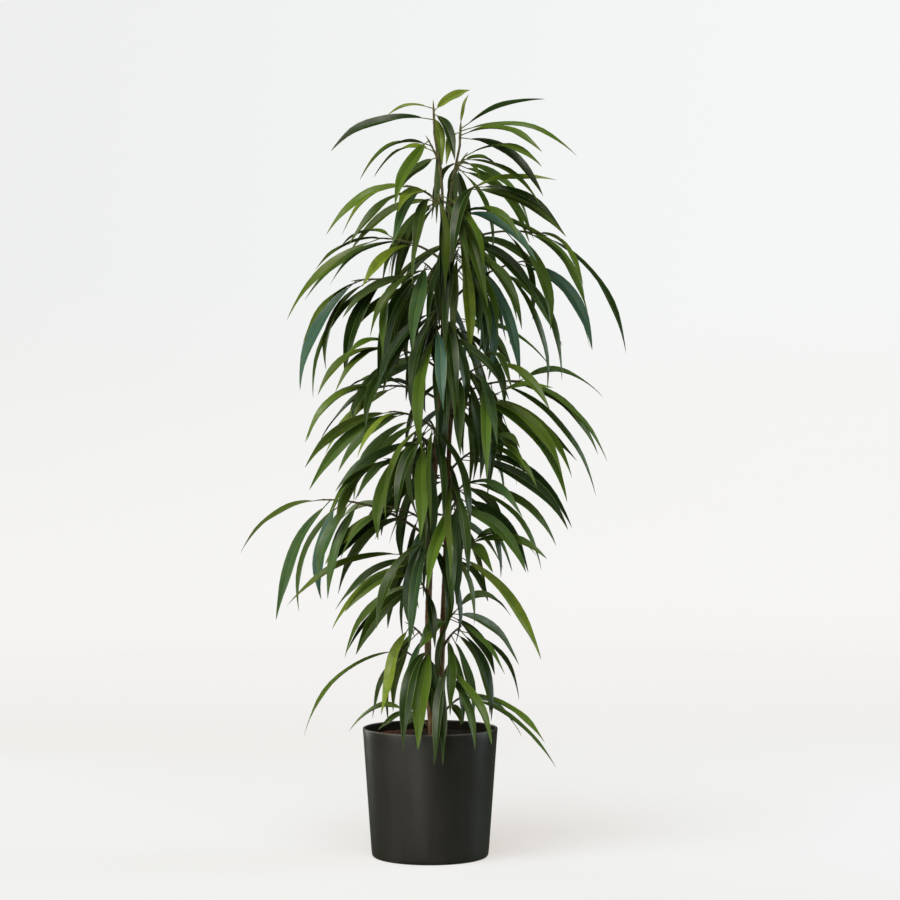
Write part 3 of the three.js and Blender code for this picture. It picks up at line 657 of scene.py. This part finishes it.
def blade_corners(curves, across, half_widths):
    """Rings of six corners: left edge, left half, midrib, right half, right edge, midrib below."""
    leaves = len(curves)
    along = (1 - np.cos(HALF_TURN * np.arange(BLADE_STEPS) / (BLADE_STEPS - 1))) / 2
    centre = np.einsum("sk,lkd->lsd", powers(along), curves)
    forward = unit(np.einsum("sk,lkd->lsd", powers(along)[:, :2] * (1, 2), curves[:, 1:]))
    upper = unit(np.cross(across[:, None], forward))
    right = np.cross(forward, upper)
    twist = np.radians(chance.uniform(-TWIST, TWIST, (leaves, 1, 1))) * along[None, :, None] ** 2
    right, upper = (right * np.cos(twist) + upper * np.sin(twist),
                    upper * np.cos(twist) - right * np.sin(twist))
    sway = chance.uniform(-SWAY, SWAY, (leaves, 1, 1)) * np.sin(2 * HALF_TURN * along)[None, :, None]
    centre = centre + right * sway
    half = half_widths[:, None] * outline(along)
    phase = chance.uniform(0, 2 * HALF_TURN, (leaves, 2, 1))
    waves = WAVE * np.sin(2 * HALF_TURN * WAVES_ALONG * along + phase)
    fold = FOLD * chance.uniform(0.9, 1.6, (leaves, 1)) * (1 - 0.4 * along)
    corners = np.empty((leaves, BLADE_STEPS, BLADE_SIDES, 3))
    for side, sign, edge, middle in ((0, -1, 0, 1), (1, 1, 4, 3)):
        angle = (fold + waves[:, side])[..., None]
        outward = sign * right * np.cos(angle) + upper * np.sin(angle)
        bulging = upper * np.cos(angle) - sign * right * np.sin(angle)
        corners[:, :, edge] = centre + half[..., None] * outward
        corners[:, :, middle] = centre + half[..., None] * (HALF_MIDDLE * outward + BULGE * bulging)
    corners[:, :, 2] = centre
    corners[:, :, 5] = centre - upper * (THICKNESS * (1 - THINNING * along))[None, :, None]
    blade = np.empty_like(corners)
    blade[..., 0] = np.array([-1, -HALF_MIDDLE, 0, HALF_MIDDLE, 1, 0])
    blade[..., 1] = along[None, :, None]
    blade[..., 2] = half[..., None]
    return corners, blade


print("share of the width along a blade:", outline(np.linspace(0, 1, 6)).round(2))

# %% [markdown]
# ## Twigs and stalks
# The stalks all end on the twig's line, so that line is fitted through their ends, from the cut where
# the solid twig meets its stem. The fine twig starts inside the stem's bark, swells where each leaf
# sits, and ends in the slender pointed bud that every shoot of a fig carries. A twig of the crown
# runs on to the end of its solid, and its last fifth tapers to the bud.

# %% Line of a twig
TWIG_SIDES = 8
TWIG_STEPS = 40
INSIDE_STEM = 0.006
BUD_LENGTH = 0.013
CROWN_BUD_SHARE = 0.2
ROOT_RADIUS = 0.0023
RADIUS_PER_LENGTH = 0.005
END_RADIUS = 0.0015
SWELL = 0.35
SWELL_REACH = 0.003
BUD_POINT = 0.02


def twig_start(wood):
    """The middle of the four corners of a solid twig that lie closest to a stem."""
    stems = np.concatenate([line[:, :3] for line in stem_lines.values()])
    gaps = np.linalg.norm(wood[:, None] - stems[None], axis=-1).min(1)
    return wood[np.argsort(gaps)[:RING_CORNERS]].mean(0)


def twig_line(wood, start, roots, crown):
    """A parabola from the stem through the stalk ends, as points and the radius at each. The radius
    falls evenly, swells like a bell at each leaf and shrinks like a square root along the bud."""
    reached = wood if crown else roots
    far = reached[np.linalg.norm(reached - start, axis=1).argmax()]
    length = np.linalg.norm(far - start)
    known = np.concatenate([roots, far[None]]) - start
    share = np.linalg.norm(known, axis=1) / length
    bends = np.linalg.lstsq(np.column_stack([share, share**2]), known, rcond=None)[0]
    past = 1.0 if crown else 1.0 + BUD_LENGTH / length
    place = np.linspace(-INSIDE_STEM / length, past, TWIG_STEPS)
    path = start + place[:, None] * bends[0] + place[:, None] ** 2 * bends[1]
    radii = np.interp(place, [0, 1], [ROOT_RADIUS + RADIUS_PER_LENGTH * length, END_RADIUS])
    sits = np.linalg.norm(path[:, None] - roots[None], axis=-1).min(1)
    radii = radii * (1 + SWELL * np.exp(-((sits / SWELL_REACH) ** 2)))
    if crown:
        tip = np.clip((place - (1 - CROWN_BUD_SHARE)) / CROWN_BUD_SHARE, 0, 1)
    else:
        tip = np.clip((place - 1) * length / BUD_LENGTH, 0, 1)
    return path, radii * np.sqrt(np.maximum(1 - tip, BUD_POINT))


# %% [markdown]
# ## Putting the shoots together
# Each shoot becomes one object: the twig, a thin stalk to each leaf, and the blades. The upper four
# strips of a blade's ring take the upper leaf material and the lower two the other one.

# %% Build all the shoots
STALK_SIDES = 6
STALK_STEPS = 5
STALK_RADII = (0.0013, 0.0010)
STALK_INTO_BLADE = 0.02
TWIG_SHADE = (0.5, 0, 0)
UPPER, LOWER, TWIG, STALK = range(4)
leaf_count = 0
for name in shoot_names:
    corners, triangles = read_solid(name)
    curves, across, half_widths, ends, used = read_leaves(corners, triangles)
    leaves = len(curves)
    roots = np.einsum("lk,lkd->ld", powers(ends), curves)
    wood = corners[~used]
    start = twig_start(wood)
    outward = np.linalg.norm(roots - start, axis=1)
    shade = leaf_looks(curves.sum(1), outward / outward.max())
    blades, blade = blade_corners(curves, across, half_widths)
    slots = [UPPER] * 4 + [LOWER] * 2
    slots = slots * (leaves * (BLADE_STEPS - 1)) + [LOWER] * (2 * leaves)
    parts = [chain(blades, chain_faces(leaves, BLADE_STEPS, BLADE_SIDES), slots, blade,
                   shade[:, None, None])]
    along = ends[:, None] + (STALK_INTO_BLADE - ends[:, None]) * np.linspace(0, 1, STALK_STEPS)
    paths = np.einsum("lsk,lkd->lsd", powers(along), curves)
    radii = np.broadcast_to(np.linspace(*STALK_RADII, STALK_STEPS), (leaves, STALK_STEPS))
    parts.append(chain(tube_corners(paths, radii, STALK_SIDES),
                       chain_faces(leaves, STALK_STEPS, STALK_SIDES), STALK,
                       shade=shade[:, None, None]))
    path, radii = twig_line(wood, start, roots, "crown" in name)
    parts.append(chain(tube_corners(path[None], radii[None], TWIG_SIDES, reference=(0.3, 0.2, 1.0)),
                       chain_faces(1, TWIG_STEPS, TWIG_SIDES), TWIG, shade=TWIG_SHADE))
    make_piece(name.replace("shoot", "spray"), parts, [leaf_upper, leaf_lower, twig_bark, stalk_skin],
               crease=32, replaced=[name])
    leaf_count += leaves
print("shoots:", len(shoot_names), "leaves:", leaf_count)

# %% [markdown]
# ## The pot
# The pot is moulded in one piece: a straight taper, a rounded foot and a rounded lip. Its outline is
# drawn once as a profile, from the underside up the side, over the lip and down to the floor inside,
# and then turned about the upright axis. The tiny rings at its two ends are closed by caps.

# %% Turn a profile
POT_HEIGHT = 0.267
RIM_RADIUS = 0.140
FOOT_RADIUS = 0.121
WALL = 0.005
FLOOR = 0.006
LIP = WALL / 2
FOOT_ROUND = 0.007
END_RING = 0.001
POT_SIDES = 128


def arc(centre, radius, start, end, steps):
    """Points of an arc in the profile's plane, from one angle to another in degrees."""
    angle = np.radians(np.linspace(start, end, steps))
    return np.column_stack([centre[0] + radius * np.cos(angle), centre[1] + radius * np.sin(angle)])


def turned(profile, sides):
    """A profile of (radius, height) points turned about Z, as one chain of rings."""
    angle = 2 * np.pi * np.arange(sides) / sides
    rings = np.stack([profile[:, None, 0] * np.cos(angle), profile[:, None, 0] * np.sin(angle),
                      np.broadcast_to(profile[:, None, 1], (len(profile), sides))], axis=-1)
    return rings[None]


slope = math.degrees(math.atan2(RIM_RADIUS - FOOT_RADIUS, POT_HEIGHT))
profile = np.concatenate([
    [(END_RING, 0.0), (0.06, 0.0)],
    arc((FOOT_RADIUS - FOOT_ROUND, FOOT_ROUND), FOOT_ROUND, -90, -slope, 8),
    np.column_stack([np.linspace(FOOT_RADIUS, RIM_RADIUS, 16)[1:-1],
                     np.linspace(0, POT_HEIGHT, 16)[1:-1]]),
    arc((RIM_RADIUS - LIP, POT_HEIGHT - LIP), LIP, -slope, 180 - slope, 9),
    [(FOOT_RADIUS + 0.0005 - WALL, FLOOR + 0.003), (FOOT_RADIUS - WALL - 0.004, FLOOR),
     (END_RING, FLOOR)],
])
print("points in the pot's profile:", len(profile))

# %% [markdown]
# ## The pot's finish
# Matt anthracite plastic isn't one flat grey. It has a fine moulded grain, faint upright flow marks,
# a painted highlight along the lip and a little dust near the foot. All of it is weak, because the pot
# should read as plain from a step away. The inside is a second material, a shaded copy of the
# plastic: painted shade in dull, mottled greys that hardly mirror the bright room, so it stays dark, as
# in the photograph. The profile's last three steps are the inside.

# %% Matt plastic
FLOW_GREYS = ((0.0245, 0.0230, 0.0200), (0.0280, 0.0262, 0.0228))
CLOUD_GREY = (0.034, 0.032, 0.028)
DUST_GREY = (0.045, 0.042, 0.036)
DUST_TOP = 0.05
LIP_HIGHLIGHT_GREY = (0.090, 0.083, 0.070)
LIP_HIGHLIGHT_BAND = (POT_HEIGHT - 0.004, POT_HEIGHT - 0.001)
INSIDE_SHADE_GREYS = ((0.019, 0.017, 0.013), (0.030, 0.026, 0.019))
INNER_ROWS = 3

pot_finish, tree, shader = new_material("Matt anthracite plastic")
place = position(tree)
height = split(tree, place)["Z"]
grain = noise(tree, place, 1400.0, 2.0)
cloud = noise(tree, place, 9.0, 4.0)
upright = add(tree, "VectorMath", {0: place, 1: (1.0, 1.0, 0.06)}, operation="MULTIPLY").outputs[0]
flow = noise(tree, upright, 60.0, 3.0)
colour = blend(tree, ease(tree, flow, 0.35, 0.65), *FLOW_GREYS)
colour = blend(tree, ease(tree, cloud, 0.4, 0.7, 0.0, 0.30), colour, CLOUD_GREY)
dust = calc(tree, "MULTIPLY", ease(tree, height, DUST_TOP, 0.0), ease(tree, cloud, 0.4, 0.65, 0.0, 0.5))
colour = blend(tree, dust, colour, DUST_GREY)
# Painted highlight: the top few millimetres of the lip turn a paler grey.
colour = blend(tree, ease(tree, height, *LIP_HIGHLIGHT_BAND), colour, LIP_HIGHLIGHT_GREY)
tree.links.new(colour, shader.inputs["Base Color"])
tree.links.new(ease(tree, cloud, 0.3, 0.7, 0.32, 0.42), shader.inputs["Roughness"])
set_bump(tree, shader, grain, 0.35, 0.0003)

# Painted shade: the inside is a shaded copy of the plastic, mottled, duller and hardly mirroring.
shaded_pot_inside, tree, shader = new_material("Shaded inside of the pot")
mottle = noise(tree, position(tree), 30.0, 4.0)
tree.links.new(blend(tree, ease(tree, mottle, 0.35, 0.65), *INSIDE_SHADE_GREYS), shader.inputs["Base Color"])
shader.inputs["Roughness"].default_value = 0.9
shader.inputs["Specular IOR Level"].default_value = 0.1

rows = len(profile) - 1
inside = np.repeat(np.arange(rows) >= rows - INNER_ROWS, POT_SIDES)
slots = np.concatenate([inside, [False, True]]).astype(int)
body = chain(turned(profile, POT_SIDES), chain_faces(1, len(profile), POT_SIDES), slots)
make_piece("plant_pot", [body], [pot_finish, shaded_pot_inside], crease=40, replaced=["pot"])
print("faces inside the pot:", int(slots.sum()), "of", len(slots))

# %% [markdown]
# ## The soil
# Potting mix is a loose heap of peat crumbs and bits of bark. The top is a round grid whose height is
# a sum of many small waves in random directions, which is quick and seeded, and a few hundred bark
# chips lie on it as little tilted blocks. The photograph shows a reddish patch behind the rim's left,
# so each corner also carries how close it is to that spot.

# %% Soil surface
SOIL_RADIUS = 0.1325
SOIL_TOP = 0.247
SOIL_DOME = 0.006
SOIL_RINGS = 46
SOIL_SIDES = 120
CRUMB_LENGTHS = (0.03, 0.014, 0.008)
CRUMB_HEIGHT = 0.0016
WAVES_EACH = 6
RED_SPOT = (-0.075, 0.06)
RED_REACH = 0.06


def crumbs(x, y):
    """A bumpy height: random cosine waves, added up and divided by the root of their number."""
    total = np.zeros_like(x)
    for wavelength in CRUMB_LENGTHS:
        for _ in range(WAVES_EACH):
            angle, start = chance.uniform(0, 2 * np.pi, 2)
            total += np.cos((x * np.cos(angle) + y * np.sin(angle)) * 2 * np.pi / wavelength + start)
    return CRUMB_HEIGHT * total / (WAVES_EACH * len(CRUMB_LENGTHS)) ** 0.5


def redness(x, y):
    """How reddish the mix is: 1 close to the red spot, and falling evenly to 0 further out."""
    return np.clip(1.2 - np.hypot(x - RED_SPOT[0], y - RED_SPOT[1]) / RED_REACH, 0, 1)


share = np.linspace(1, 0.004, SOIL_RINGS)
angle = 2 * np.pi * np.arange(SOIL_SIDES) / SOIL_SIDES
radius = share[:, None] * SOIL_RADIUS
x, y = radius * np.cos(angle), radius * np.sin(angle)
soil_height = SOIL_TOP + SOIL_DOME * (1 - share[:, None] ** 2) + crumbs(x, y)
top = np.stack([x, y, soil_height], axis=-1)
low_radius = FOOT_RADIUS - WALL - 0.002
bottom = np.stack([low_radius * np.cos(angle), low_radius * np.sin(angle),
                   np.full(SOIL_SIDES, FLOOR + 0.0005)], axis=-1)
soil_rings = np.concatenate([bottom[None], top])[None]
soil_shade = np.zeros_like(soil_rings)
soil_shade[..., 1] = redness(soil_rings[..., 0], soil_rings[..., 1])
earth = chain(soil_rings, chain_faces(1, SOIL_RINGS + 1, SOIL_SIDES), 0, shade=soil_shade)
print("soil lies between", soil_height.min().round(4), "and", soil_height.max().round(4))

# %% [markdown]
# ## Bark chips
# Each chip is a small block: six-sided, flattened, tilted and sunk halfway into the soil, with four
# rings along its long way. Chips near the red spot are redder.

# %% Scatter the chips
CHIPS = 420
CHIP_SIDES = 6
CHIP_SIZES = (0.0018, 0.0055)
CHIP_STATIONS = np.array([-1, -0.7, 0.7, 1])[:, None, None]
CHIP_FULLNESS = np.array([0.45, 1, 1, 0.5])[:, None, None]
CHIP_WIDTH = 0.55
CHIP_FLATNESS = 0.32

spread = SOIL_RADIUS * 0.95 * np.sqrt(chance.uniform(0, 1, CHIPS))
turn = chance.uniform(0, 2 * np.pi, CHIPS)
spots = np.column_stack([spread * np.cos(turn), spread * np.sin(turn)])
size = chance.uniform(*CHIP_SIZES, CHIPS)
lie = chance.normal(0, 1, (CHIPS, 3))
long_way = unit(lie * (1, 1, 0.25))
flat_way = unit(np.cross(long_way, lie[:, ::-1] + (0, 0, 2)))
ring_turn = 2 * np.pi * np.arange(CHIP_SIDES) / CHIP_SIDES
ring = (flat_way[:, None] * np.cos(ring_turn)[:, None] * CHIP_WIDTH
        + np.cross(long_way, flat_way)[:, None] * np.sin(ring_turn)[:, None] * CHIP_FLATNESS)
ring = ring * chance.uniform(0.7, 1.2, (CHIPS, CHIP_SIDES, 1))
floor_height = SOIL_TOP + SOIL_DOME * (1 - (spread / SOIL_RADIUS) ** 2) + 0.0006
middle = np.column_stack([spots, floor_height])[:, None, None]
chips = middle + size[:, None, None, None] * (long_way[:, None, None] * CHIP_STATIONS
                                              + ring[:, None] * CHIP_FULLNESS)
red = redness(spots[:, 0], spots[:, 1])
chip_shade = np.column_stack([chance.uniform(0, 1, CHIPS), red, np.zeros(CHIPS)])[:, None, None]
bark_chips = chain(chips, chain_faces(CHIPS, len(CHIP_STATIONS), CHIP_SIDES), 1, shade=chip_shade)
print("chips:", CHIPS, "of them reddish:", int((red > 0.5).sum()))

# %% [markdown]
# ## Soil and chip materials
# Damp peat is nearly black and dull, and a little less dull where it is wettest. Each chip has its own
# brown. Both turn reddish by the number that their corners carry.

# %% Peat and chips
SOIL_BROWNS = ((0.010, 0.007, 0.005), (0.050, 0.032, 0.020))
DAMP_BROWN = (0.014, 0.010, 0.007)
SOIL_RED = (0.150, 0.060, 0.040)
SOIL_RED_MOST = 0.7
CHIP_BROWNS = ((0.030, 0.017, 0.010), (0.110, 0.060, 0.032))
CHIP_RED = (0.340, 0.110, 0.075)
FIBRE_BROWN = (0.020, 0.012, 0.008)

soil_finish, tree, shader = new_material("Potting mix")
place = position(tree)
crumb = noise(tree, place, 260.0, 6.0)
damp = noise(tree, place, 18.0, 3.0)
_, red_share, _ = carried(tree, "shade")
colour = blend(tree, ease(tree, crumb, 0.35, 0.68), *SOIL_BROWNS)
colour = blend(tree, ease(tree, damp, 0.4, 0.65, 0.0, 0.5), colour, DAMP_BROWN)
colour = blend(tree, calc(tree, "MULTIPLY", red_share, SOIL_RED_MOST), colour, SOIL_RED)
tree.links.new(colour, shader.inputs["Base Color"])
tree.links.new(ease(tree, damp, 0.4, 0.65, 0.95, 0.75), shader.inputs["Roughness"])
set_bump(tree, shader, crumb, 0.9, 0.002)

chip_finish, tree, shader = new_material("Bark chips")
light, red_share, _ = carried(tree, "shade")
fibre = noise(tree, position(tree), 700.0, 4.0)
colour = blend(tree, light, *CHIP_BROWNS)
colour = blend(tree, red_share, colour, CHIP_RED)
colour = blend(tree, ease(tree, fibre, 0.4, 0.65, 0.0, 0.5), colour, FIBRE_BROWN)
tree.links.new(colour, shader.inputs["Base Color"])
shader.inputs["Roughness"].default_value = 0.85
set_bump(tree, shader, fibre, 0.6, 0.0006)
make_piece("potting_mix", [earth, bark_chips], [soil_finish, chip_finish], crease=50,
           replaced=["soil"])

# %% [markdown]
# ## The studio
# The photograph was taken in front of a white seamless sweep: floor and wall are one pale curve with
# no line between them. Here the sweep goes all the way round like a bowl, so that the plant can be
# looked at from every side. It glows a little by itself, so that it stays even and takes only a faint
# shadow, and it neither lights the plant nor shades it. The lamps alone do that. The glow fades over
# the floor from front to back, over the wall from left to right, and between them by the slope.

# %% Sweep
CURVE_START = 5.0
CURVE_RADIUS = 1.6
WALL_TOP = 6.0
SWEEP_SIDES = 180
PAPER = (0.25, 0.315, 0.38, 1.0)
FLOOR_GLOW = ((0.643, 0.583, 0.537), (0.708, 0.650, 0.619))
FLOOR_FADE = (0.8, 4.5)
WALL_GLOW = ((0.750, 0.735, 0.720), (0.800, 0.787, 0.772))
WALL_FADE = (-2.6, 2.6)

section = np.concatenate([[(0.01, 0.0)], arc((CURVE_START, CURVE_RADIUS), CURVE_RADIUS, -90, 0, 24),
                          [(CURVE_START + CURVE_RADIUS, WALL_TOP)]])
quads, _ = chain_faces(1, len(section), SWEEP_SIDES)
sweep_mesh = bpy.data.meshes.new("sweep")
sweep_mesh.from_pydata(turned(section, SWEEP_SIDES).reshape(-1, 3).tolist(), [], quads.tolist())
sweep_mesh.shade_smooth()
sweep = new_object("sweep", sweep_mesh)
paper, tree, shader = new_material("White paper sweep")
shader.inputs["Base Color"].default_value = PAPER
shader.inputs["Roughness"].default_value = 1.0
shader.inputs["Specular IOR Level"].default_value = 0.0
shader.inputs["Emission Strength"].default_value = 1.0
sideways, depth, _ = split(tree, position(tree))
facing_up = split(tree, add(tree, "NewGeometry").outputs["Normal"])["Z"]
floor_share = calc(tree, "MULTIPLY", facing_up, calc(tree, "SUBTRACT", 2.0, facing_up))
floor_glow = blend(tree, ease(tree, depth, *FLOOR_FADE), *FLOOR_GLOW)
wall_glow = blend(tree, ease(tree, sideways, *WALL_FADE), *WALL_GLOW)
tree.links.new(blend(tree, floor_share, wall_glow, floor_glow), shader.inputs["Emission Color"])
sweep_mesh.materials.append(paper)
sweep.visible_diffuse = False
sweep.visible_glossy = False
sweep.visible_shadow = False
print("the sweep is", 2 * (CURVE_START + CURVE_RADIUS), "m across")

# %% [markdown]
# ## Lamps
# A big soft lamp lights the left side, and a narrow one behind the plant gives the pot its bright left
# edge. A bluish one lifts the right side. A weak one near the camera fills the front, and a low one
# with a tight beam lights the pot's foot. A wide sun stands for the light from above that falls
# between the leaves, and the world adds a faint glow to the shade.


# %% Lamps and sky
def soft_lamp(name, place, aim, size, power, colour, spread=180):
    """An area lamp that faces the axis at the height `aim` and shines within a spread in degrees."""
    light = bpy.data.lights.new(name, "AREA")
    light.shape = "RECTANGLE"
    light.size, light.size_y = size
    light.energy = power
    light.color = colour
    light.spread = math.radians(spread)
    lamp = new_object(name, light)
    lamp.location = place
    direction = np.array((0, 0, aim)) - np.array(place)
    level = math.hypot(direction[0], direction[1])
    lamp.rotation_euler = (math.atan2(level, -direction[2]), 0, math.atan2(-direction[0], direction[1]))


WARM = (1.0, 0.98, 0.94)
soft_lamp("left", (-3.2, -2.2, 1.2), 0.7, (2.4, 2.2), power=60, colour=WARM)
soft_lamp("edge", (-1.9, 1.7, 0.9), 0.7, (0.6, 2.0), power=4.4, colour=(1.0, 1.0, 1.0), spread=100)
soft_lamp("right", (2.9, 0.4, 1.0), 0.6, (0.9, 2.0), power=34, colour=(0.82, 0.93, 1.0))
soft_lamp("front", (-1.8, -5.4, 1.0), 0.6, (3.0, 2.4), power=20, colour=WARM)
soft_lamp("low", (-1.0, -2.7, 0.13), 0.13, (1.5, 0.24), power=0.32, colour=(1.0, 0.97, 0.95), spread=16)

sun_light = bpy.data.lights.new("key", "SUN")
sun_light.energy = 2.2
sun_light.angle = math.radians(35)
sun_light.color = (1.0, 0.96, 0.88)
sun = new_object("key", sun_light)
sun.rotation_euler = (math.radians(25), 0, math.radians(-18))

world = bpy.data.worlds.new("Studio")
bpy.context.scene.world = world
world.use_nodes = True
sky = world.node_tree.nodes["Background"]
sky.inputs["Color"].default_value = (0.90, 1.0, 0.65, 1.0)
sky.inputs["Strength"].default_value = 0.10
print("lamps:", len(bpy.data.lights))

# %% [markdown]
# ## Camera
# The camera stands level at about half the plant's height, 5 m away, with a short telephoto lens, so
# the pot's rim shows as a thin ellipse and nothing bends at the edges.

# %% Camera and colours
SENSOR_WIDTH = 36.0
LENS = 96.4

camera_data = bpy.data.cameras.new("camera")
camera_data.sensor_width = SENSOR_WIDTH
camera_data.lens = LENS
camera = new_object("camera", camera_data)
camera.location = CAMERA.tolist()
camera.rotation_euler = (math.pi / 2, 0, 0)
bpy.context.scene.camera = camera
bpy.context.scene.view_settings.view_transform = "Standard"
